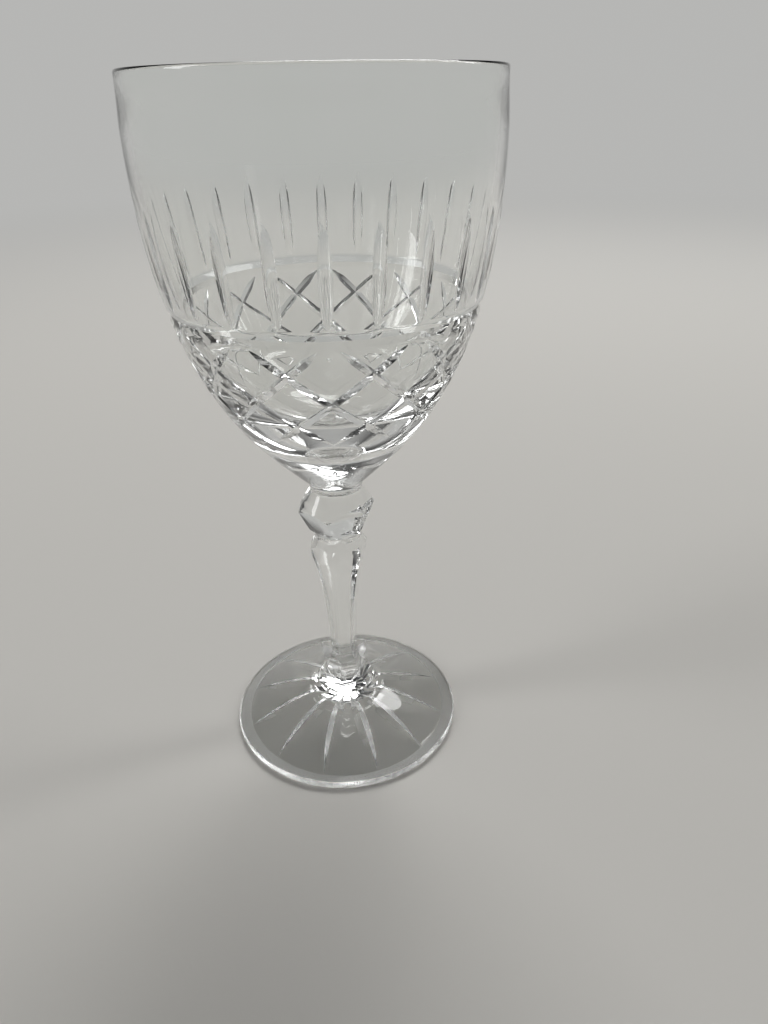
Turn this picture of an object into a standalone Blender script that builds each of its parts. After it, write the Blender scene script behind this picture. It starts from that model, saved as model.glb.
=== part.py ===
# A stemmed wine glass in cut lead crystal: bowl, faceted knop, six-sided stem and domed foot.
# The four pieces are worked separately and fused end to end, so they stack on the Z axis.
# Origin: centre of the foot's resting ring, on the table. +Z up. Metres.
import math
import bpy
import bmesh
from mathutils import Matrix, Vector

mm = 0.001

# ---- driving sizes ----
joint_gap = 0.3 * mm

foot_diameter = 65.6 * mm
foot_rim_thickness = 2.4 * mm
foot_dome_height = 9.6 * mm
foot_wall = 2.9 * mm
foot_boss_diameter = 21.8 * mm
foot_boss_height = 2.8 * mm
foot_boss_top_diameter = 16.4 * mm
foot_ring_width = 4.2 * mm

stem_length = 48.7 * mm
stem_base_corner_radius = 8.8 * mm
stem_flare_height = 9.3 * mm
stem_waist_corner_radius = 3.75 * mm
stem_shoulder_corner_radius = 8.0 * mm
stem_shoulder_drop = 3.1 * mm
stem_neck_radius = 6.2 * mm
stem_ledge = 0.35 * mm

knop_height = 14.3 * mm
knop_corner_radius = 10.4 * mm
knop_base_corner_radius = 7.8 * mm
knop_base_up = 2.5 * mm
knop_widest_up = 8.0 * mm
waist_radius = 6.8 * mm

bowl_height = 93.7 * mm
bowl_belly_radius = 39.5 * mm
bowl_rim_tuck = 0.45 * mm
bowl_belly_up = 82.4 * mm
bowl_rim_wall = 1.3 * mm
bowl_floor_thickness = 15.7 * mm

ring_up = 47.7 * mm
ring_cut_width = 3.5 * mm
ring_cut_depth = 0.6 * mm

flute_count = 24
flute_up = 59.5 * mm
flute_length = 18.8 * mm
flute_width = 2.8 * mm
flute_depth = 0.95 * mm

diamond_count = 12
diamond_top_up = 47.6 * mm
diamond_start = 3
diamond_turn = 61
diamond_slant = 41.3
diamond_depth = 0.8 * mm
diamond_half_angle = 50

ray_count = 12
ray_ring_margin = 0.6 * mm
ray_inner_radius = 1.6 * mm
ray_depth = 1.1 * mm
ray_half_angle = 56

round_steps = 48
hex_turn = 15
seam_turn = 3.75

# ---- heights along the axis ----
foot_top = foot_dome_height + foot_boss_height
stem_bottom = foot_top + joint_gap
stem_top = stem_bottom + stem_length
knop_bottom = stem_top + joint_gap
knop_top = knop_bottom + knop_height
bowl_bottom = knop_top + joint_gap
bowl_top = bowl_bottom + bowl_height


def clear_scene():
    for old in list(bpy.data.objects):
        bpy.data.objects.remove(old, do_unlink=True)


def new_collection(name, parent):
    made = bpy.data.collections.new(name)
    parent.children.link(made)
    return made


def glass_finish(name, colour):
    mat = bpy.data.materials.new(name)
    mat.use_nodes = True
    shader = mat.node_tree.nodes["Principled BSDF"]
    shader.inputs["Base Color"].default_value = (*colour, 1.0)
    shader.inputs["Roughness"].default_value = 0.03
    shader.inputs["Metallic"].default_value = 0.0
    shader.inputs["IOR"].default_value = 1.55
    return mat


def bezier(start, first, second, end, pieces):
    points = []
    for i in range(pieces + 1):
        t = i / pieces
        s = 1 - t
        r = s**3 * start[0] + 3 * s * s * t * first[0] + 3 * s * t * t * second[0] + t**3 * end[0]
        z = s**3 * start[1] + 3 * s * s * t * first[1] + 3 * s * t * t * second[1] + t**3 * end[1]
        points.append((r, z))
    return points


def arc(centre, radius, begin, finish, pieces):
    points = []
    for i in range(pieces + 1):
        a = math.radians(begin + (finish - begin) * i / pieces)
        points.append((centre[0] + radius * math.cos(a), centre[1] + radius * math.sin(a)))
    return points


def turned(name, profile, steps, collection, turn=0.0):
    # profile: (radius, height) pairs, down the outer side from top to bottom
    a = math.radians(turn)
    verts = [(r * math.cos(a), r * math.sin(a), z) for r, z in profile]
    edges = [(i, i + 1) for i in range(len(verts) - 1)]
    mesh = bpy.data.meshes.new(name)
    mesh.from_pydata(verts, edges, [])
    obj = bpy.data.objects.new(name, mesh)
    collection.objects.link(obj)
    screw = obj.modifiers.new("turn", "SCREW")
    screw.axis = "Z"
    screw.steps = steps
    screw.render_steps = steps
    screw.use_merge_vertices = True
    screw.merge_threshold = 0.00001
    screw.use_smooth_shade = steps > 12
    return obj


def solid_object(name, shape, collection):
    mesh = bpy.data.meshes.new(name)
    bmesh.ops.recalc_face_normals(shape, faces=shape.faces)
    shape.to_mesh(mesh)
    shape.free()
    obj = bpy.data.objects.new(name, mesh)
    collection.objects.link(obj)
    return obj


def as_cutter(obj):
    obj.hide_render = True
    obj.display_type = "WIRE"
    return obj


def boolean(obj, cutter, operation):
    mod = obj.modifiers.new(cutter.name, "BOOLEAN")
    mod.operation = operation
    mod.solver = "EXACT"
    mod.object = cutter


def add_blade(shape, stations, half_angle, reach):
    # a V-shaped bar lofted through the stations; each station is (edge point, outward, sideways)
    spread = reach * math.tan(math.radians(half_angle))
    rows = []
    for edge, outward, side in stations:
        row = [edge, edge + outward * reach + side * spread, edge + outward * reach - side * spread]
        rows.append([shape.verts.new(p) for p in row])
    for near, far in zip(rows, rows[1:]):
        for k in range(3):
            shape.faces.new((near[k], near[(k + 1) % 3], far[(k + 1) % 3], far[k]))
    shape.faces.new(rows[0])
    shape.faces.new(reversed(rows[-1]))


# ---- the bowl's outline ----
belly_z = bowl_bottom + bowl_belly_up
rim_radius = bowl_belly_radius - bowl_rim_tuck
skirt_start = (waist_radius + 1.2 * mm, bowl_bottom + 2.5 * mm)
skirt_handle = (skirt_start[0] + 12.0 * mm, skirt_start[1] + 12.0 * mm)
belly_handle = (bowl_belly_radius, belly_z - 0.62 * bowl_belly_up)


def bowl_outer(pieces):
    # from the waist up to the rim
    points = [(waist_radius, bowl_bottom), (waist_radius + 0.3 * mm, bowl_bottom + 1.2 * mm)]
    points += bezier(skirt_start, skirt_handle, belly_handle, (bowl_belly_radius, belly_z), pieces)
    rise = bowl_top - belly_z
    for k in (0.5, 0.94):
        points.append((bowl_belly_radius - bowl_rim_tuck * k * k, belly_z + rise * k))
    return points


def with_ring(points):
    # a shallow V cut turned round the bowl between the flutes and the diamonds
    z = bowl_bottom + ring_up
    half = ring_cut_width / 2
    spare = half + 1.0 * mm
    below = [p for p in points if p[1] < z - spare]
    above = [p for p in points if p[1] > z + spare]
    lean = math.hypot(1, outer_slope(z))
    ring = [(outer_radius(z - half), z - half)]
    ring.append((outer_radius(z) - ring_cut_depth / lean, z + ring_cut_depth * outer_slope(z) / lean))
    ring.append((outer_radius(z + half), z + half))
    return below + ring + above


def bowl_inner(pieces):
    floor_z = bowl_bottom + bowl_floor_thickness
    inner_radius = rim_radius - bowl_rim_wall
    high = bowl_top - 6.0 * mm
    return bezier(
        (0, floor_z),
        (0.62 * inner_radius, floor_z),
        (inner_radius, high - 0.47 * bowl_height),
        (inner_radius, high),
        pieces,
    )


fine_outline = bowl_outer(240)


def outer_radius(z):
    for low, high in zip(fine_outline, fine_outline[1:]):
        if low[1] <= z <= high[1]:
            return low[0] + (high[0] - low[0]) * (z - low[1]) / (high[1] - low[1])
    return rim_radius


def outer_slope(z):
    # how far the wall leans outward for each metre it rises
    step = 0.4 * mm
    return (outer_radius(z + step) - outer_radius(z - step)) / (2 * step)


def skin_station(z, angle, depth, direction):
    # a point that deep under the bowl's outer skin, its outward normal and the sideways line
    radial = Vector((math.cos(angle), math.sin(angle), 0))
    outward = (radial - Vector((0, 0, outer_slope(z)))).normalized()
    skin = radial * outer_radius(z) + Vector((0, 0, z))
    return skin - outward * depth, outward, outward.cross(direction).normalized()


def add_round_bar(shape, stations, radius, sides):
    # a round bar through the stations; each station is (centre, outward, sideways)
    rows = []
    for centre, outward, side in stations:
        row = []
        for k in range(sides):
            a = 2 * math.pi * (k + 0.5) / sides
            row.append(shape.verts.new(centre + outward * radius * math.cos(a) + side * radius * math.sin(a)))
        rows.append(row)
    for near, far in zip(rows, rows[1:]):
        for k in range(sides):
            shape.faces.new((near[k], near[(k + 1) % sides], far[(k + 1) % sides], far[k]))
    shape.faces.new(rows[0])
    shape.faces.new(reversed(rows[-1]))


def flute_blades():
    # upright hollow cuts: the rounded edge of a wheel dips into the skin between the two tips
    low_z = bowl_bottom + flute_up - flute_length / 2
    high_z = bowl_bottom + flute_up + flute_length / 2
    low = Vector((outer_radius(low_z), 0, low_z))
    high = Vector((outer_radius(high_z), 0, high_z))
    chord = (high - low).length
    along = (high - low) / chord
    out = Vector((along.z, 0, -along.x))
    middle = (low + high) / 2
    bulge = (Vector((outer_radius(middle.z), 0, middle.z)) - middle).dot(out)
    dip = flute_depth - bulge
    wheel_radius = (chord * chord / 4 + dip * dip) / (2 * dip)
    edge_radius = flute_width * flute_width / (8 * flute_depth) + flute_depth / 2
    hub = middle + out * (wheel_radius - dip)
    reach = math.asin(chord / 2 / wheel_radius) * 1.25
    shape = bmesh.new()
    for k in range(flute_count):
        turn = Matrix.Rotation(2 * math.pi * k / flute_count, 3, "Z")
        stations = []
        for i in range(9):
            a = (i / 4 - 1) * reach
            normal = out * math.cos(a) - along * math.sin(a)
            centre = hub - normal * (wheel_radius - edge_radius)
            stations.append((turn @ centre, turn @ normal, turn @ Vector((0, 1, 0))))
        add_round_bar(shape, stations, edge_radius, 12)
    return solid_object("flute_blades", shape, cutters)


def diamond_path():
    # the wheel keeps one slant to the horizontal as it runs down and round the bowl
    slant = math.tan(math.radians(diamond_slant))
    z = bowl_bottom + diamond_top_up
    path = []
    step = math.radians(diamond_turn + 2.4) / 120
    for i in range(121):
        path.append((i * step, z))
        r = outer_radius(z)
        z -= slant * r * step / math.hypot(1, outer_slope(z))
    return path


def diamond_blades(name, sense, full_depth, count):
    shape = bmesh.new()
    path = diamond_path()
    last = len(path) - 1
    for k in range(diamond_count):
        start = 2 * math.pi * k / diamond_count
        stations = []
        for i in range(count + 1):
            at = i * last // count
            turn, z = path[at]
            ends = []
            for t, h in (path[max(at - 1, 0)], path[min(at + 1, last)]):
                a = start + sense * t
                ends.append(Vector((outer_radius(h) * math.cos(a), outer_radius(h) * math.sin(a), h)))
            along = (ends[1] - ends[0]).normalized()
            degrees = math.degrees(turn)
            fade = min(1.0, (degrees - diamond_start) / 5, (diamond_turn - degrees) / 11)
            stations.append(skin_station(z, start + sense * turn, full_depth * fade, along))
        add_blade(shape, stations, diamond_half_angle, 1.7 * mm)
    return solid_object(name, shape, cutters)


# ---- the foot's outline ----
foot_radius = foot_diameter / 2
boss_radius = foot_boss_diameter / 2
slope_run = foot_radius - 1.2 * mm - boss_radius
dome_rise = foot_dome_height - foot_rim_thickness
dome_slope = dome_rise / slope_run
ring_inner = foot_radius - foot_ring_width
under_top = foot_dome_height - foot_wall
# the star's rays end where the flat standing ring begins
ray_tip_radius = ring_inner - ray_ring_margin


def foot_profile():
    half = foot_rim_thickness / 2
    points = [(0, foot_top), (foot_boss_top_diameter / 2, foot_top)]
    points += arc(
        (foot_boss_top_diameter / 2 - 0.1 * mm, foot_top - 0.6 * mm), 0.6 * mm, 70, 0, 2
    )
    points.append((boss_radius - 1.1 * mm, foot_dome_height + 0.5 * mm))
    points.append((boss_radius, foot_dome_height))
    for k in (0.33, 0.66):
        bulge = 0.5 * mm * math.sin(math.pi * k)
        points.append((boss_radius + slope_run * k, foot_dome_height - dome_rise * k + bulge))
    points.append((foot_radius - 1.2 * mm, foot_rim_thickness))
    points += arc((foot_radius - half, half), half, 60, -60, 4)
    points.append((foot_radius - 1.3 * mm, 0))
    points.append((ring_inner, 0))
    points.append((ring_inner - 0.6 * mm, 0.35 * mm))
    points.append((boss_radius, under_top - 0.2 * mm))
    points.append((0.4 * boss_radius, under_top + 0.3 * mm))
    points.append((0, under_top + 0.4 * mm))
    return points


def ray_blades():
    # a star under the foot: each cut follows the hollow underside from near the centre to a point
    shape = bmesh.new()
    low = ring_inner - 0.6 * mm
    lean = (under_top - 0.2 * mm - 0.35 * mm) / (low - boss_radius)

    def under(r):
        if r > boss_radius:
            return 0.35 * mm + (low - r) * lean
        return under_top - 0.2 * mm + 0.6 * mm * (1 - r / boss_radius) * 0.9

    for k in range(ray_count):
        angle = math.radians(hex_turn) + 2 * math.pi * k / ray_count
        radial = Vector((math.cos(angle), math.sin(angle), 0))
        stations = []
        for i in range(10):
            t = i / 4.5 - 1
            r = (ray_tip_radius + ray_inner_radius) / 2 + t * (ray_tip_radius - ray_inner_radius) / 2
            depth = ray_depth * (1.06 - 1.12 * t * t)
            tilt = lean if r > boss_radius else 0.05
            outward = Vector((-tilt * radial.x, -tilt * radial.y, -1)).normalized()
            point = radial * r + Vector((0, 0, under(r)))
            side = Vector((-radial.y, radial.x, 0))
            stations.append((point - outward * depth, outward, side))
        add_blade(shape, stations, ray_half_angle, 1.8 * mm)
    return solid_object("ray_blades", shape, cutters)


# ---- the stem's outlines ----
def stem_hexagon():
    # corner radius of the six-sided shaft, from its shoulder down to the flared base
    shoulder_z = stem_top - stem_shoulder_drop
    ledge_z = stem_bottom + stem_flare_height
    thin = stem_waist_corner_radius
    wide = stem_shoulder_corner_radius
    top_z = stem_top + 1.0 * mm
    points = [(0, top_z), (wide + 0.6 * mm, top_z), (wide - 0.3 * mm, shoulder_z - 2.2 * mm)]
    run = shoulder_z - 2.2 * mm - ledge_z
    points += bezier(
        (wide - 0.3 * mm, shoulder_z - 2.2 * mm),
        (wide - 0.3 * mm - 0.078 * run, shoulder_z - 2.2 * mm - 0.26 * run),
        (thin + 0.3 * mm, ledge_z + 0.42 * run),
        (thin, ledge_z + 0.4 * mm),
        6,
    )[1:]
    swell = thin + stem_ledge
    points.append((swell, ledge_z))
    points += bezier(
        (swell, ledge_z - 0.5 * mm),
        (swell + 0.1 * mm, ledge_z - 0.5 * stem_flare_height),
        (stem_base_corner_radius - 2.2 * mm, stem_bottom + 1.4 * mm),
        (stem_base_corner_radius, stem_bottom + 0.5 * mm),
        5,
    )
    points.append((stem_base_corner_radius, stem_bottom))
    points.append((0, stem_bottom))
    return points


def stem_round():
    # the blank that the six flats are ground on: a neck, a cone under it, then plenty to spare
    shoulder_z = stem_top - stem_shoulder_drop
    wide = stem_shoulder_corner_radius
    spare = max(stem_base_corner_radius, wide) + 2 * mm
    drop = (spare - wide) * stem_shoulder_drop / (wide - stem_neck_radius)
    points = [(0, stem_top), (stem_neck_radius, stem_top), (stem_neck_radius + 0.1 * mm, stem_top - 0.4 * mm)]
    points.append((spare, shoulder_z - drop))
    points.append((spare, stem_bottom - 1 * mm))
    points.append((0, stem_bottom - 1 * mm))
    return points


# ---- the knop's outlines ----
def knop_hexagon():
    widest_z = knop_bottom + knop_widest_up
    base_z = knop_bottom + knop_base_up
    lean = (knop_corner_radius - knop_base_corner_radius) / (widest_z - base_z)
    top_z = knop_top + 1 * mm
    top_r = knop_corner_radius + lean * (top_z - widest_z)
    low_z = knop_bottom - 1 * mm
    return [
        (0, top_z),
        (top_r, top_z),
        (knop_base_corner_radius - lean * (base_z - low_z), low_z),
        (0, low_z),
    ]


def knop_round():
    widest_z = knop_bottom + knop_widest_up
    base_z = knop_bottom + knop_base_up
    lean = (knop_corner_radius - waist_radius) / (knop_top - 0.8 * mm - widest_z)
    spare = 0.9 * mm
    return [
        (0, knop_top),
        (waist_radius, knop_top),
        (waist_radius + 0.05 * mm, knop_top - 0.8 * mm),
        (knop_corner_radius + spare, widest_z - spare / lean),
        (knop_corner_radius + spare, base_z + 1.2 * mm),
        (knop_base_corner_radius + 0.3 * mm, base_z),
        (stem_neck_radius + 0.6 * mm, base_z - 0.7 * mm),
        (stem_neck_radius, base_z - 1.4 * mm),
        (stem_neck_radius, knop_bottom),
        (0, knop_bottom),
    ]


# ---- build ----
clear_scene()
glass = new_collection("wine_glass", bpy.context.scene.collection)
cutters = new_collection("cutters", bpy.context.scene.collection)

outer = with_ring(bowl_outer(11))
inner = bowl_inner(8)
inner_radius = rim_radius - bowl_rim_wall
lip = bowl_rim_wall / 2
lip_centre = (rim_radius - lip, bowl_top - lip)
bowl_profile = inner + arc(lip_centre, lip, 180, 0, 4) + list(reversed(outer)) + [(0, bowl_bottom)]
bowl = turned("bowl", bowl_profile, round_steps, glass, turn=seam_turn)
boolean(bowl, as_cutter(flute_blades()), "DIFFERENCE")
# the second set of diagonals is ground over the first, a hair deeper
boolean(bowl, as_cutter(diamond_blades("diamond_blades_right", 1, diamond_depth, 10)), "DIFFERENCE")
second_depth = diamond_depth + 0.1 * mm
boolean(bowl, as_cutter(diamond_blades("diamond_blades_left", -1, second_depth, 11)), "DIFFERENCE")

knop = turned("knop", knop_round(), round_steps, glass, turn=seam_turn)
boolean(knop, as_cutter(turned("knop_flats", knop_hexagon(), 6, cutters, turn=hex_turn)), "INTERSECT")

stem = turned("stem", stem_hexagon(), 6, glass, turn=hex_turn)
boolean(stem, as_cutter(turned("stem_blank", stem_round(), round_steps, cutters, turn=seam_turn)), "INTERSECT")

foot = turned("foot", foot_profile(), round_steps, glass, turn=seam_turn)
boolean(foot, as_cutter(ray_blades()), "DIFFERENCE")

for piece, tint in (
    (bowl, (0.90, 0.92, 0.91)),
    (knop, (0.89, 0.92, 0.91)),
    (stem, (0.88, 0.91, 0.90)),
    (foot, (0.90, 0.92, 0.90)),
):
    piece.data.materials.append(glass_finish(piece.name + "_crystal", tint))
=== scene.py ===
# A stemmed wine glass in cut lead crystal. The bowl, knop, stem and foot are separate gathers
# of glass that are fused end to end, then cut on V-edged wheels and polished.
import math
import bpy
from mathutils import Matrix, Vector


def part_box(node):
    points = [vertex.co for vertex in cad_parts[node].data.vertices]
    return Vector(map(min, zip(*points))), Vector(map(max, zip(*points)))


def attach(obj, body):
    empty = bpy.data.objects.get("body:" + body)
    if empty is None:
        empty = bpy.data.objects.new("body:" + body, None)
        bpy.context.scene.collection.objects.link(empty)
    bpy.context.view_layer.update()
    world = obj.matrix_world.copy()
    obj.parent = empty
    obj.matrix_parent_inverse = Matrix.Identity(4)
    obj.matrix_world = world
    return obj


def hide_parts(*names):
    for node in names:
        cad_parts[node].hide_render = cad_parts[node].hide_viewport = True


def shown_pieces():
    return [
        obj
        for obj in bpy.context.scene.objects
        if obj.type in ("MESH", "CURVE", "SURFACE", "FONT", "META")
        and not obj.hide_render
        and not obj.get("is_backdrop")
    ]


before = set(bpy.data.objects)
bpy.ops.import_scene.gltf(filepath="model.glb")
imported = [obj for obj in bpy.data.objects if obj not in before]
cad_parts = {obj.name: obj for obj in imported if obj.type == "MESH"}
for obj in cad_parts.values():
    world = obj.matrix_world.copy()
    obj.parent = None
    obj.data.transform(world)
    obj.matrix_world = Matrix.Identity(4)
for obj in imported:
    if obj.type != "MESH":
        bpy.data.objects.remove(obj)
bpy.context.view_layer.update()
mm = 0.001
root = "root"
sameSpot = 0.01  # mm: points whose heights differ by less are level with each other
leastShare = 0.02  # a ground bar tapers to this share of its size, because a bare point won't cut cleanly
hexTurn = -15  # degrees from the primitive's first corner to the first corner of the knop and stem


def pickNothing():
    if bpy.context.object and bpy.context.object.mode != "OBJECT":
        bpy.ops.object.mode_set(mode="OBJECT")
    bpy.ops.object.select_all(action="DESELECT")


def pick(*objects):
    pickNothing()
    for obj in objects:
        obj.select_set(True)
    bpy.context.view_layer.objects.active = objects[0]


def settle(obj):
    # place, turn and scale go into the mesh
    pick(obj)
    bpy.ops.object.transform_apply(location=True, rotation=True, scale=True)


def linearColour(hexCode):
    parts = [int(hexCode[i:i + 2], 16) / 255 for i in (1, 3, 5)]
    return [c / 12.92 if c <= 0.04045 else ((c + 0.055) / 1.055) ** 2.4 for c in parts] + [1.0]


def addNode(tree, kind, inputs=None, links=None, **settings):
    # inputs are values, links are (from socket, to input name or number)
    node = tree.nodes.new(kind)
    for key, value in settings.items():
        setattr(node, key, value)
    for key, value in (inputs or {}).items():
        node.inputs[key].default_value = value
    for source, key in links or []:
        tree.links.new(source, node.inputs[key])
    return node


def bend(start, startHandle, endHandle, end, count):
    # points on a Bezier run, without its first one
    points = []
    for i in range(1, count + 1):
        t = i / count
        s = 1 - t
        points.append(tuple(
            s**3 * a + 3 * s * s * t * b + 3 * s * t * t * c + t**3 * d
            for a, b, c, d in zip(start, startHandle, endHandle, end)
        ))
    return points


def turnOnLathe(name, outline, steps, startTurn=0.0):
    # outline: (radius, height) in mm. One corner is drawn out into a line, and the line is spun
    pickNothing()
    start = (outline[0][0] * mm, 0, outline[0][1] * mm)
    bpy.ops.mesh.primitive_plane_add(size=mm, location=start)
    obj = bpy.context.object
    obj.name = name
    settle(obj)
    bpy.ops.object.mode_set(mode="EDIT")
    bpy.ops.mesh.select_all(action="SELECT")
    bpy.ops.mesh.merge(type="CENTER")
    for near, far in zip(outline, outline[1:]):
        step = ((far[0] - near[0]) * mm, 0, (far[1] - near[1]) * mm)
        bpy.ops.mesh.extrude_region_move(TRANSFORM_OT_translate={"value": step})
    bpy.ops.mesh.select_all(action="SELECT")
    bpy.ops.mesh.spin(steps=steps, angle=math.tau, center=(0, 0, 0), axis=(0, 0, 1))
    bpy.ops.mesh.select_all(action="SELECT")
    bpy.ops.mesh.remove_doubles(threshold=0.000001)
    bpy.ops.mesh.normals_make_consistent(inside=False)
    bpy.ops.object.mode_set(mode="OBJECT")
    obj.rotation_euler.z = math.radians(startTurn)
    settle(obj)
    return obj


def veeEdge(depth, halfAngle, reach):
    # a wheel's V edge in section: (outwards, sideways) from the skin
    spread = math.tan(math.radians(halfAngle)) * (depth + reach)
    return [(-depth, 0), (reach, spread), (reach, -spread)]


def roundEdge(radius, count):
    # a wheel's rounded edge in section
    turns = [math.tau * (i + 0.5) / count for i in range(count)]
    return [(radius * math.cos(t), radius * math.sin(t)) for t in turns]


def grindBar(name, stations, edge, finish):
    # the wheel's edge swept along its path. Stations are (point in mm, outward normal, share of the
    # edge's size)
    profile = bpy.data.curves.new(name + "Profile", "CURVE")
    corners = profile.splines.new("POLY")
    corners.points.add(len(edge) - 1)
    for corner, place in zip(corners.points, edge):
        corner.co = (place[0] * mm, place[1] * mm, 0, 1)
    corners.use_cyclic_u = True
    profileObject = bpy.data.objects.new(name + "Profile", profile)
    bpy.context.collection.objects.link(profileObject)

    path = bpy.data.curves.new(name, "CURVE")
    path.dimensions = "3D"
    path.twist_mode = "Z_UP"
    line = path.splines.new("POLY")
    line.points.add(len(stations) - 1)
    for i, (place, normal, share) in enumerate(stations):
        ahead = stations[min(i + 1, len(stations) - 1)][0]
        behind = stations[max(i - 1, 0)][0]
        along = (ahead - behind).normalized()
        level = along.cross(Vector((0, 0, 1))).normalized()
        out = (normal - along * normal.dot(along)).normalized()
        line.points[i].co = (*(place * mm), 1)
        line.points[i].tilt = math.atan2(along.dot(level.cross(out)), level.dot(out))
        line.points[i].radius = share
    path.bevel_mode = "OBJECT"
    path.bevel_object = profileObject
    path.use_fill_caps = True
    bar = bpy.data.objects.new(name, path)
    bpy.context.collection.objects.link(bar)
    pick(bar)
    bpy.ops.object.convert(target="MESH")
    bpy.ops.object.mode_set(mode="EDIT")
    bpy.ops.mesh.select_all(action="SELECT")
    bpy.ops.mesh.remove_doubles(threshold=0.0000005)
    bpy.ops.mesh.normals_make_consistent(inside=False)
    bpy.ops.object.mode_set(mode="OBJECT")
    bpy.data.objects.remove(profileObject)
    bar.data.materials.clear()
    bar.data.materials.append(finish)
    return bar


def copiesRound(bar, count, firstTurn=0.0):
    # the wheel is brought back to the glass once for every cut, and the bars are joined
    bars = []
    for i in range(count):
        pick(bar)
        bpy.ops.object.duplicate()
        another = bpy.context.object
        another.rotation_euler.z = math.radians(firstTurn + 360 * i / count)
        settle(another)
        bars.append(another)
    bpy.data.objects.remove(bar)
    pick(*bars)
    bpy.ops.object.join()
    return bpy.context.object


def cut(glass, cutter, operation="DIFFERENCE"):
    pick(glass)
    mod = glass.modifiers.new("cut", "BOOLEAN")
    mod.operation = operation
    mod.solver = "EXACT"
    mod.material_mode = "TRANSFER"
    mod.object = cutter
    bpy.ops.object.modifier_apply(modifier=mod.name)
    bpy.data.objects.remove(cutter)


def polish(glass, angle=20):
    pick(glass)
    bpy.ops.object.shade_smooth_by_angle(angle=math.radians(angle))


# place in mm, turns in degrees; near and far are in metres
cameraSet = {
    "place": (0.0, -177.5, 165.7),
    "down": 28.96,
    "right": 4.0,
    "roll": -1.03,
    "lens": 26.796,
    "near": 0.01,
    "far": 50,
}
pickNothing()
bpy.ops.object.camera_add(location=[c * mm for c in cameraSet["place"]])
camera = bpy.context.object
turn = Matrix.Rotation(math.radians(-cameraSet["right"]), 4, "Z")
turn = turn @ Matrix.Rotation(math.radians(90 - cameraSet["down"]), 4, "X")
turn = turn @ Matrix.Rotation(math.radians(cameraSet["roll"]), 4, "Z")
camera.rotation_euler = turn.to_euler()
camera.data.lens = cameraSet["lens"]
camera.data.clip_start = cameraSet["near"]
camera.data.clip_end = cameraSet["far"]
bpy.context.scene.camera = camera
print("camera set")


# scales are repeats a metre: 40 is a cord every 25 mm, 90 a patch every 11 mm, 5000 a scratch every 0.2 mm
crystalSet = {
    "ior": 1.55,
    "tint": "#fafcfa",
    "clear": "#ffffff",
    "cordScale": 40.0,
    "patchScale": 90.0,
    "patchFrom": 0.5,
    "patchTo": 0.75,
    "scratchScale": 5000.0,
    "scratchRoughness": 0.6,
}


def leadCrystal(name, waves, swell, bright, film, wornBelow=None):
    # heavy clear glass: waves is the size in mm of the surface's unevenness, swell its height in mm,
    # bright its roughness where clean, film the roughness that handling and washing leave in patches
    c = crystalSet
    mat = bpy.data.materials.new(name)
    mat.use_nodes = True
    tree = mat.node_tree
    shader = tree.nodes["Principled BSDF"]
    shader.inputs["Transmission Weight"].default_value = 1.0
    shader.inputs["IOR"].default_value = c["ior"]
    place = addNode(tree, "ShaderNodeTexCoord").outputs["Object"]
    drift = addNode(tree, "ShaderNodeTexNoise", {"Scale": 1000 / waves, "Detail": 2.0}, [(place, "Vector")])
    bump = addNode(
        tree,
        "ShaderNodeBump",
        {"Strength": 1.0, "Distance": swell * mm},
        [(drift.outputs["Fac"], "Height")],
    )
    # a trace of grey-green comes and goes in the glass. Inputs 6 and 7 are the mix's two colours
    cords = addNode(
        tree,
        "ShaderNodeTexNoise",
        {"Scale": c["cordScale"], "Detail": 1.0},
        [(place, "Vector")],
    )
    tone = addNode(
        tree,
        "ShaderNodeMix",
        {6: linearColour(c["tint"]), 7: linearColour(c["clear"])},
        [(cords.outputs["Fac"], 0)],
        data_type="RGBA",
    )
    tree.links.new(tone.outputs[2], shader.inputs["Base Color"])
    patches = addNode(
        tree,
        "ShaderNodeTexNoise",
        {"Scale": c["patchScale"], "Detail": 3.0},
        [(place, "Vector")],
    )
    rough = addNode(
        tree,
        "ShaderNodeMapRange",
        {"From Min": c["patchFrom"], "From Max": c["patchTo"], "To Min": bright, "To Max": film},
        [(patches.outputs["Fac"], "Value")],
    ).outputs["Result"]
    if wornBelow:
        # the ring that stands on the table is dulled by fine scratches all ways
        height = addNode(tree, "ShaderNodeSeparateXYZ", links=[(place, 0)]).outputs["Z"]
        worn = addNode(
            tree,
            "ShaderNodeMapRange",
            {"From Min": wornBelow * mm, "From Max": 0.0, "To Min": 0.0, "To Max": 1.0},
            [(height, "Value")],
        ).outputs["Result"]
        grain = addNode(
            tree,
            "ShaderNodeTexNoise",
            {"Scale": c["scratchScale"], "Detail": 4.0},
            [(place, "Vector")],
        )
        hazy = addNode(
            tree,
            "ShaderNodeMath",
            links=[(worn, 0), (grain.outputs["Fac"], 1)],
            operation="MULTIPLY",
        )
        rough = addNode(
            tree,
            "ShaderNodeMath",
            {1: c["scratchRoughness"]},
            [(hazy.outputs[0], 0), (rough, 2)],
            operation="MULTIPLY_ADD",
        ).outputs[0]
    tree.links.new(rough, shader.inputs["Roughness"])
    tree.links.new(bump.outputs["Normal"], shader.inputs["Normal"])
    return mat


# blown crystal polished by the flame: mirror-bright and very slightly wavy, so straight lines wander in it
skin = leadCrystal("fire-polished lead crystal", 11, 0.012, 0.0, 0.012)
# wheel cuts polished in acid: bright, but rippled across the cut, so the light in them breaks up
wheelCut = leadCrystal("acid-polished wheel cut", 1.6, 0.004, 0.07, 0.15)
# the star under the foot is left satin from the fine wheel, so each cut shows as a soft pale leaf
starCut = leadCrystal("satin-finished star cut", 1.2, 0.006, 0.22, 0.38)
# flats ground on a wheel and buffed with putty: nearly plane, with soft edges
flatCut = leadCrystal("ground and buffed facet", 7, 0.008, 0.0, 0.015)
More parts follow.
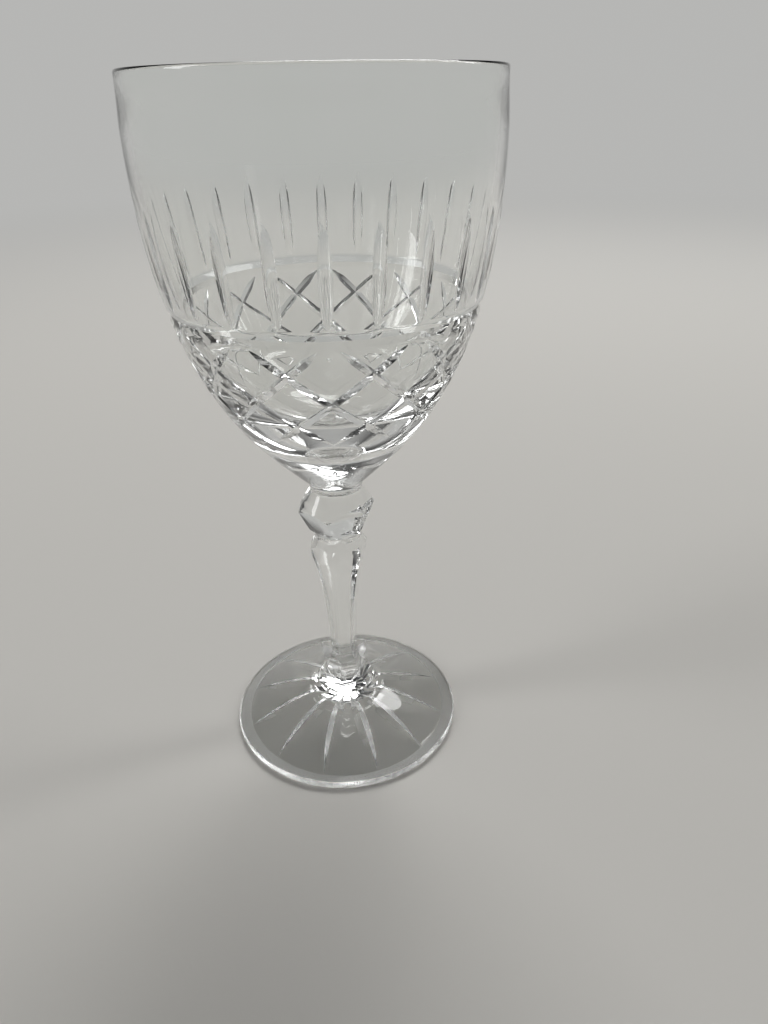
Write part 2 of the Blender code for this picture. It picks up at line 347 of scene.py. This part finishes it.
# the foot is fire-polished too, but its standing ring is dull from being set down
footSkin = leadCrystal("fire-polished foot with a worn ring", 11, 0.01, 0.0, 0.015, 0.25)
# the two gathers have run together here, so no surface shows between them
fused = bpy.data.materials.new("fused crystal joint")
fused.use_nodes = True
fused.node_tree.nodes["Principled BSDF"].inputs["Alpha"].default_value = 0.0
print("materials mixed")


def dress(glass, low, high):
    # the fused faces are the flat ones at the piece's two ends
    glass.data.materials.append(fused)
    joint = len(glass.data.materials) - 1
    ends = [z * mm for z in (low, high) if z is not None]
    for face in glass.data.polygons:
        level = abs(face.normal.z) > 0.999
        if level and any(abs(face.center.z - z) < 2 * sameSpot * mm for z in ends):
            face.material_index = joint


def standsFor(glass, node):
    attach(glass, root)
    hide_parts(node)


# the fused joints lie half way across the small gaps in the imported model
def jointHeight(lower, upper):
    return (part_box(lower)[1].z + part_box(upper)[0].z) / 2 / mm


footJoint = jointHeight("foot", "stem")
stemJoint = jointHeight("stem", "knop")
knopJoint = jointHeight("knop", "bowl")

bowlSet = {
    "rimHeight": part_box("bowl")[1].z / mm,
    "bellyRadius": 39.4,
    "bellyHeight": 158.7,
    "rimRadius": 38.95,
    "rimWall": 1.25,
    "straightTo": 164.0,
    "floorHeight": 92.0,
    "floorHandle": 0.62,
    "wallHandle": 44.0,
    "waistRadius": 6.8,
    "waistRise": 1.0,
    "flareStart": (8.0, 78.8),
    "flareBack": 0.6,
    "flareHandle": 12,
    "bellyHandle": 51.0,
    "lipHandle": 4,
    "ringHeight": 124.0,
    "ringDepth": 0.6,
    "ringWidth": 3.5,
    "steps": 240,
}


def bowlOutside(rings):
    b = bowlSet
    # the waist turns out into a 45 degree flare, the flare rises to the belly, and the belly draws in
    points = [(b["waistRadius"], knopJoint)]
    flare = b["flareStart"]
    waistUp = (b["waistRadius"], knopJoint + b["waistRise"])
    points += bend(points[0], waistUp, (flare[0] - b["flareBack"], flare[1] - b["flareBack"]), flare, 8)
    belly = (b["bellyRadius"], b["bellyHeight"])
    flareOut = (flare[0] + b["flareHandle"], flare[1] + b["flareHandle"])
    points += bend(flare, flareOut, (belly[0], belly[1] - b["bellyHandle"]), belly, rings)
    lip = (b["rimRadius"], b["rimHeight"] - b["rimWall"] / 2)
    bellyUp = (belly[0], belly[1] + b["lipHandle"])
    points += bend(belly, bellyUp, (lip[0], lip[1] - b["lipHandle"]), lip, 8)
    return points


fineSkin = bowlOutside(400)  # fine enough to read the skin's radius and slope from


def skinRadius(z):
    for low, high in zip(fineSkin, fineSkin[1:]):
        if low[1] <= z <= high[1]:
            return low[0] + (high[0] - low[0]) * (z - low[1]) / (high[1] - low[1])
    return bowlSet["rimRadius"]


def skinSlope(z):
    reach = 0.4
    return (skinRadius(z + reach) - skinRadius(z - reach)) / (2 * reach)


def onSkin(turn, z, share):
    # a point on the bowl's outside, its outward normal and the share of the cut's full depth
    out = Vector((math.cos(turn), math.sin(turn), 0))
    normal = (out - Vector((0, 0, skinSlope(z)))).normalized()
    return out * skinRadius(z) + Vector((0, 0, z)), normal, max(share, leastShare)


def bowlInside(rings):
    b = bowlSet
    # straight down from the lip, then one long curve to the middle of the floor
    radius = b["rimRadius"] - b["rimWall"]
    lip = (radius, b["rimHeight"] - b["rimWall"] / 2)
    wall = (radius, b["straightTo"])
    points = bend(lip, (radius, wall[1] + 4), (radius, wall[1] + 2), wall, 3)
    floor = (0, b["floorHeight"])
    wallDown = (radius, wall[1] - b["wallHandle"])
    points += bend(wall, wallDown, (radius * b["floorHandle"], floor[1]), floor, rings)
    return points


def bowlOutline():
    b = bowlSet
    outside = bowlOutside(72)
    ring = b["ringHeight"]
    half = b["ringWidth"] / 2
    apart = 0.2  # between the notch's ends and the skin's own rings
    below = [p for p in outside if p[1] < ring - half - apart]
    above = [p for p in outside if p[1] > ring + half + apart]
    slope = skinSlope(ring)
    lean = math.hypot(1, slope)
    # the ring is a shallow V with a crisp crease, run in while the bowl turns
    notch = []
    for i in range(9):
        t = i / 4 - 1
        z = ring + t * half
        deep = b["ringDepth"] * (1 - abs(t))
        notch.append((skinRadius(z) - deep / lean, z + deep * slope / lean))
    lip = []
    bead = b["rimWall"] / 2
    middle = (b["rimRadius"] - bead, b["rimHeight"] - bead)
    for i in range(1, 12):
        a = math.radians(180 * i / 12)
        lip.append((middle[0] + bead * math.cos(a), middle[1] + bead * math.sin(a)))
    return [(0, knopJoint)] + below + notch + above + lip + bowlInside(64)


fluteSet = {
    "count": 24,
    "bottom": 126.4,
    "top": 145.2,
    "width": 2.8,
    "depth": 0.95,
    "edgeSteps": 24,
    "overrun": 1.25,
    "steps": 24,
}
# each diagonal runs down and round from the ring. Turn, start and the two fades are degrees round the bowl
diamondSet = {
    "count": 12,
    "top": 123.9,
    "start": 3.0,
    "turn": 61.0,
    "fadeIn": 5,
    "fadeOut": 11,
    "slant": 41.3,
    "depth": 0.8,
    "halfAngle": 50,
    "clear": 0.9,
    "steps": 240,
    "kept": 5,
}


def fluteStations():
    # the wheel's rounded edge follows a circle that dips into the skin between the flute's two tips
    f = fluteSet
    low = Vector((skinRadius(f["bottom"]), 0, f["bottom"]))
    high = Vector((skinRadius(f["top"]), 0, f["top"]))
    chord = high - low
    along = chord.normalized()
    out = Vector((along.z, 0, -along.x))
    middle = (low + high) / 2
    bulge = (onSkin(0, middle.z, 1)[0] - middle).dot(out)
    dip = f["depth"] - bulge
    wheel = (chord.length**2 / 4 + dip**2) / (2 * dip)
    edge = f["width"] ** 2 / (8 * f["depth"]) + f["depth"] / 2
    centre = middle + out * (wheel - dip)
    reach = math.asin(chord.length / 2 / wheel) * f["overrun"]
    stations = []
    for i in range(2 * f["steps"] + 1):
        a = (i / f["steps"] - 1) * reach
        normal = out * math.cos(a) - along * math.sin(a)
        stations.append((centre - normal * (wheel - edge), normal, 1))
    return stations, edge


def diamondStations():
    d = diamondSet
    slant = math.tan(math.radians(d["slant"]))
    step = math.radians(d["turn"]) / d["steps"]
    z = d["top"]
    stations = []
    for i in range(d["steps"] + 1):
        if i % d["kept"] == 0:
            degrees = math.degrees(i * step)
            share = min(1, (degrees - d["start"]) / d["fadeIn"], (d["turn"] - degrees) / d["fadeOut"])
            if share >= 0:
                stations.append(onSkin(i * step, z, share))
        z -= slant * skinRadius(z) * step / math.hypot(1, skinSlope(z))
    return stations


def makeBowl():
    bowl = turnOnLathe("cutBowl", bowlOutline(), bowlSet["steps"], 180 / bowlSet["steps"])
    bowl.data.materials.append(skin)
    stations, edge = fluteStations()
    flute = grindBar("flute", stations, roundEdge(edge, fluteSet["edgeSteps"]), wheelCut)
    cut(bowl, copiesRound(flute, fluteSet["count"]))
    d = diamondSet
    edge = veeEdge(d["depth"], d["halfAngle"], d["clear"])
    right = grindBar("diagonal", diamondStations(), edge, wheelCut)
    pick(right)
    bpy.ops.object.duplicate()
    left = bpy.context.object
    left.scale.y = -1
    settle(left)
    bpy.ops.object.mode_set(mode="EDIT")
    bpy.ops.mesh.select_all(action="SELECT")
    bpy.ops.mesh.normals_make_consistent(inside=False)
    bpy.ops.object.mode_set(mode="OBJECT")
    cut(bowl, copiesRound(right, d["count"]))
    cut(bowl, copiesRound(left, d["count"]))
    polish(bowl)
    dress(bowl, knopJoint, None)
    standsFor(bowl, "bowl")


makeBowl()
print("bowl cut")

knopSet = {
    "waistRadius": 6.8,
    "neckRadius": 6.2,
    "widest": 10.4,
    "widestHeight": 69.7,
    "baseCorner": 7.8,
    "baseHeight": 64.2,
    "neckRise": 1.6,
    "topBand": 0.6,
    "flatsFrom": 58,
    "flatsTo": 80,
    "spare": 1.2,
    "steps": 144,
    "roundOff": 0.25,
}


def hexBlock(name, lowRadius, lowHeight, highRadius, highHeight):
    pickNothing()
    bpy.ops.mesh.primitive_cone_add(
        vertices=6,
        radius1=lowRadius * mm,
        radius2=highRadius * mm,
        depth=(highHeight - lowHeight) * mm,
        location=(0, 0, (lowHeight + highHeight) / 2 * mm),
    )
    block = bpy.context.object
    block.name = name
    block.rotation_euler.z = math.radians(hexTurn)
    settle(block)
    block.data.materials.append(flatCut)
    return block


def softenEdges(glass, width, keepHeights, limit=18):
    # polishing takes the sharpness off every arris but not off the fused end faces
    pick(glass)
    mesh = glass.data
    weight = mesh.attributes.new("bevel_weight_edge", "FLOAT", "EDGE")
    facesOf = {}
    for face in mesh.polygons:
        for key in face.edge_keys:
            facesOf.setdefault(tuple(sorted(key)), []).append(face)
    for edge in mesh.edges:
        faces = facesOf.get(tuple(sorted(edge.vertices)), [])
        if len(faces) != 2:
            continue
        z = [mesh.vertices[v].co.z for v in edge.vertices]
        atEnd = any(max(abs(z[0] - h * mm), abs(z[1] - h * mm)) < sameSpot * mm for h in keepHeights)
        bendAngle = faces[0].normal.angle(faces[1].normal, 0)
        if not atEnd and bendAngle > math.radians(limit):
            weight.data[edge.index].value = 1.0
    mod = glass.modifiers.new("polish", "BEVEL")
    mod.width = width * mm
    mod.segments = 3
    mod.limit_method = "WEIGHT"
    mod.use_clamp_overlap = True
    bpy.ops.object.modifier_apply(modifier=mod.name)


def makeKnop():
    k = knopSet
    neck = k["neckRadius"]
    base = k["baseHeight"]
    # the blank is turned wider than the knop by the spare, then the six flats are ground into it
    blankRadius = k["widest"] + k["spare"]
    lean = (k["widest"] - k["waistRadius"]) / (knopJoint - k["topBand"] - k["widestHeight"])
    outline = [(0, stemJoint), (neck, stemJoint), (neck, base - k["neckRise"])]
    neckUp = (neck, base - 1.0)
    outline += bend(outline[-1], neckUp, (neck + 0.3, base - 0.4), (k["baseCorner"] + 0.2, base), 6)
    outline += [(blankRadius, base + 1.4), (blankRadius, k["widestHeight"] - k["spare"] / lean)]
    waist = k["waistRadius"]
    outline += [(waist + 0.1, knopJoint - k["topBand"]), (waist, knopJoint), (0, knopJoint)]
    knop = turnOnLathe("facetedKnop", outline, k["steps"], 180 / k["steps"])
    knop.data.materials.append(skin)
    taper = (k["widest"] - k["baseCorner"]) / (k["widestHeight"] - k["baseHeight"])
    block = hexBlock(
        "flats",
        k["widest"] - taper * (k["widestHeight"] - k["flatsFrom"]),
        k["flatsFrom"],
        k["widest"] + taper * (k["flatsTo"] - k["widestHeight"]),
        k["flatsTo"],
    )
    cut(knop, block, "INTERSECT")
    softenEdges(knop, k["roundOff"], (stemJoint, knopJoint))
    polish(knop, 30)
    dress(knop, stemJoint, knopJoint)
    standsFor(knop, "knop")


makeKnop()
print("knop ground")

stemSet = {
    "baseCorner": 8.8,
    "ledgeHeight": 22.0,
    "thin": 3.75,
    "shoulder": 8.0,
    "shoulderHeight": 58.3,
    "neckRadius": 6.2,
    "baseBand": 0.4,
    "ledge": 0.35,
    "shaftHandles": (0.42, 0.078, 0.26),
    "blankFrom": 10,
    "spare": 2.0,
    "steps": 144,
    "roundOff": 0.22,
}


def makeStem():
    s = stemSet
    wide = s["shoulder"]
    lowWide = (wide - 0.3, s["shoulderHeight"] - 2.2)
    run = lowWide[1] - s["ledgeHeight"]
    # corner radius and height, from the flared base over the ledge to the shoulder
    outline = [(s["baseCorner"], footJoint), (s["baseCorner"], footJoint + s["baseBand"])]
    swell = s["thin"] + s["ledge"]
    outline += bend(
        outline[-1],
        (s["baseCorner"] - 2.2, footJoint + 1.5),
        (swell + 0.1, s["ledgeHeight"] - 4.6),
        (swell, s["ledgeHeight"] - 0.5),
        14,
    )
    outline += [(swell, s["ledgeHeight"]), (s["thin"], s["ledgeHeight"] + 0.4)]
    up, inward, down = s["shaftHandles"]  # shares of the shaft's run
    outline += bend(
        outline[-1],
        (s["thin"] + 0.3, s["ledgeHeight"] + up * run),
        (lowWide[0] - inward * run, lowWide[1] - down * run),
        lowWide,
        30,
    )
    outline += [(wide, s["shoulderHeight"]), (wide + 0.6, stemJoint + 2)]
    pickNothing()
    bpy.ops.mesh.primitive_circle_add(
        vertices=6, radius=outline[0][0] * mm, fill_type="NGON", location=(0, 0, outline[0][1] * mm)
    )
    stem = bpy.context.object
    stem.name = "sixSidedStem"
    stem.rotation_euler.z = math.radians(hexTurn)
    settle(stem)
    bpy.ops.object.mode_set(mode="EDIT")
    bpy.ops.mesh.select_all(action="SELECT")
    for near, far in zip(outline, outline[1:]):
        rise = (0, 0, (far[1] - near[1]) * mm)
        bpy.ops.mesh.extrude_region_move(TRANSFORM_OT_translate={"value": rise})
        grow = far[0] / near[0]
        bpy.ops.transform.resize(value=(grow, grow, 1), center_override=(0, 0, far[1] * mm))
    bpy.ops.mesh.select_all(action="SELECT")
    bpy.ops.mesh.normals_make_consistent(inside=False)
    bpy.ops.object.mode_set(mode="OBJECT")
    # a turned cone takes the shoulder's corners down to the round neck
    blankRadius = wide + s["spare"]
    lean = (stemJoint - s["shoulderHeight"]) / (wide - s["neckRadius"])
    blankOutline = [(0, s["blankFrom"]), (blankRadius, s["blankFrom"])]
    blankOutline += [(blankRadius, s["shoulderHeight"] - s["spare"] * lean)]
    blankOutline += [(s["neckRadius"] + 0.1, stemJoint - 0.3), (s["neckRadius"], stemJoint), (0, stemJoint)]
    stem.data.materials.append(flatCut)
    blank = turnOnLathe("blank", blankOutline, s["steps"], 180 / s["steps"])
    blank.data.materials.append(skin)
    cut(stem, blank, "INTERSECT")
    softenEdges(stem, s["roundOff"], (stemJoint, footJoint))
    polish(stem, 30)
    dress(stem, footJoint, stemJoint)
    standsFor(stem, "stem")


makeStem()
print("stem ground")

footSet = {
    "radius": 32.7,
    "rimThickness": 2.4,
    "bossRadius": 10.9,
    "domeHeight": 9.6,
    "bossTop": 8.2,
    "wall": 2.9,
    "edgeInset": 1.2,
    "crown": 0.5,
    "ringWidth": 4.2,
    "ringLip": 0.6,
    "ringStep": 0.35,
    "underDip": 0.2,
    "underRise": 0.54,
    "underSlope": 0.05,
    "rays": 12,
    "firstRay": 15,
    "rayTip": 28.0,
    "rayStart": 1.6,
    "rayDepth": 1.1,
    "rayHalfAngle": 58,
    "rayClear": 0.8,
    "steps": 240,
}


def footUnder(r):
    # height and slope of the underside at a radius: a straight cone, then nearly flat under the boss
    f = footSet
    low = f["radius"] - f["ringWidth"] - f["ringLip"]
    under = f["domeHeight"] - f["wall"]
    lean = (under - f["underDip"] - f["ringStep"]) / (low - f["bossRadius"])
    if r > f["bossRadius"]:
        return f["ringStep"] + (low - r) * lean, lean
    return under - f["underDip"] + f["underRise"] * (1 - r / f["bossRadius"]), f["underSlope"]


def makeFoot():
    f = footSet
    half = f["rimThickness"] / 2
    run = f["radius"] - f["edgeInset"] - f["bossRadius"]
    drop = f["domeHeight"] - f["rimThickness"]
    outline = [(0, footJoint), (f["bossTop"], footJoint)]
    outline += bend(
        outline[-1],
        (f["bossTop"] + 0.8, footJoint),
        (f["bossTop"] + 0.9, f["domeHeight"] + 0.9),
        (f["bossRadius"] - 0.5, f["domeHeight"] + 0.3),
        8,
    )
    outline.append((f["bossRadius"], f["domeHeight"]))
    for i in range(1, 20):
        k = i / 20
        crown = f["crown"] * math.sin(math.pi * k)
        outline.append((f["bossRadius"] + run * k, f["domeHeight"] - drop * k + crown))
    outline.append((f["radius"] - f["edgeInset"], f["rimThickness"]))
    for i in range(13):
        a = math.radians(66 - 132 * i / 12)
        outline.append((f["radius"] - half + half * math.cos(a), half + half * math.sin(a)))
    low = f["radius"] - f["ringWidth"]
    lip = f["ringLip"]
    outline += [(f["radius"] - 1.3, 0), (low, 0), (low - lip, f["ringStep"])]
    for i in range(1, 13):
        r = low - lip + (f["bossRadius"] - low + lip) * i / 12
        outline.append((r, footUnder(r)[0]))
    under = f["domeHeight"] - f["wall"]
    outline += [(f["bossRadius"] * 0.4, under + 0.3), (0, under + 0.4)]
    foot = turnOnLathe("domedFoot", outline, f["steps"], 180 / f["steps"])
    foot.data.materials.append(footSkin)
    # each ray is deepest half way along and dies away to both tips
    stations = []
    for i in range(37):
        t = i / 18 - 1
        r = (f["rayTip"] + f["rayStart"]) / 2 + t * (f["rayTip"] - f["rayStart"]) / 2
        z, lean = footUnder(r)
        down = Vector((-lean, 0, -1)).normalized()
        stations.append((Vector((r, 0, z)), down, max(1 - t * t, leastShare)))
    ray = grindBar("ray", stations, veeEdge(f["rayDepth"], f["rayHalfAngle"], f["rayClear"]), starCut)
    cut(foot, copiesRound(ray, f["rays"], f["firstRay"]))
    polish(foot)
    dress(foot, None, footJoint)
    standsFor(foot, "foot")


makeFoot()
print("foot cut")

# sizes are in metres. Glow is the one brightness that the far board, glowing with painted light, and the
# room at eye level share.
# The room turns from glow to ceiling between two heights, where 0 is level and 1 is straight up
stageSet = {
    "board": "#d2d0cb",
    "radius": 4.0,
    "below": 0.00005,
    # between these distances from the middle the board's own colour fades out and its painted glow fades in
    "paintedGlowFrom": 0.3,
    "paintedGlowTo": 1.4,
    "glow": (0.47, 0.47, 0.46, 1),
    "ceiling": (0.04, 0.04, 0.042, 1),
    "glowTo": 0.13,
    "ceilingFrom": 0.42,
}


def makeStage():
    # a plain pale board. Far from the glass no lamp lights it; it glows with painted light instead, as
    # bright as the room at eye level, so no edge shows where it ends
    g = stageSet
    pickNothing()
    bpy.ops.mesh.primitive_circle_add(
        vertices=96, radius=g["radius"], fill_type="TRIFAN", location=(0, 0, -g["below"])
    )
    board = bpy.context.object
    board.name = "paleBoard"
    settle(board)
    paint = bpy.data.materials.new("matt pale acrylic board with painted glow far off")
    paint.use_nodes = True
    tree = paint.node_tree
    shader = tree.nodes["Principled BSDF"]
    shader.inputs["Roughness"].default_value = 0.8
    shader.inputs["Specular IOR Level"].default_value = 0.0
    shader.inputs["Emission Color"].default_value = g["glow"]
    place = addNode(tree, "ShaderNodeTexCoord").outputs["Object"]
    away = addNode(tree, "ShaderNodeVectorMath", links=[(place, 0)], operation="LENGTH")
    share = addNode(
        tree,
        "ShaderNodeMapRange",
        {"From Min": g["paintedGlowFrom"], "From Max": g["paintedGlowTo"], "To Min": 0.0, "To Max": 1.0},
        [(away.outputs["Value"], "Value")],
        interpolation_type="SMOOTHSTEP",
    )
    # painted light: far off the board's colour goes to black and an emission glow takes the place of lamp
    # light
    tone = addNode(
        tree,
        "ShaderNodeMix",
        {6: linearColour(g["board"]), 7: (0, 0, 0, 1)},
        [(share.outputs["Result"], 0)],
        data_type="RGBA",
    )
    tree.links.new(tone.outputs[2], shader.inputs["Base Color"])
    tree.links.new(share.outputs["Result"], shader.inputs["Emission Strength"])
    board.data.materials.append(paint)
    board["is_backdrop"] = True


def softbox(name, shape, place, aim, width, height, power):
    pickNothing()
    bpy.ops.object.light_add(type="AREA", location=place)
    lamp = bpy.context.object
    lamp.name = name
    lamp.data.shape = shape
    lamp.data.size = width
    lamp.data.size_y = height
    lamp.data.energy = power
    lamp.rotation_euler = (Vector(aim) - Vector(place)).to_track_quat("-Z", "Y").to_euler()


makeStage()
softbox("highBack", "ELLIPSE", (0.25, 1.0, 1.35), (0, 0, 0.05), 1.2, 0.8, 16)
softbox("leftWindow", "RECTANGLE", (-1.3, -0.2, 0.8), (0, 0, 0.1), 0.35, 1.0, 6)
softbox("rightWindow", "RECTANGLE", (1.2, 0.3, 0.9), (0, 0, 0.1), 0.25, 0.8, 4)

# the room is as light as the board up to just above eye level, then dim overhead, which gives the
# cuts their dark sides
world = bpy.data.worlds.new("studio")
bpy.context.scene.world = world
world.use_nodes = True
tree = world.node_tree
direction = addNode(tree, "ShaderNodeTexCoord")
axes = addNode(tree, "ShaderNodeSeparateXYZ", links=[(direction.outputs["Generated"], 0)])
fade = addNode(tree, "ShaderNodeValToRGB", links=[(axes.outputs["Z"], 0)])
fade.color_ramp.elements[0].position = stageSet["glowTo"]
fade.color_ramp.elements[0].color = stageSet["glow"]
fade.color_ramp.elements[1].position = stageSet["ceilingFrom"]
fade.color_ramp.elements[1].color = stageSet["ceiling"]
tree.links.new(fade.outputs["Color"], tree.nodes["Background"].inputs["Color"])
tree.nodes["Background"].inputs["Strength"].default_value = 1.0
print("stage lit")

# light passes many faces of clear glass before it comes out
cycles = bpy.context.scene.cycles
cycles.max_bounces = 24
cycles.transmission_bounces = 24
cycles.glossy_bounces = 12
cycles.transparent_max_bounces = 24
bpy.context.scene.view_settings.view_transform = "Standard"

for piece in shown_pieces():
    print(piece.name, sum(len(f.vertices) - 2 for f in piece.data.polygons), "triangles")
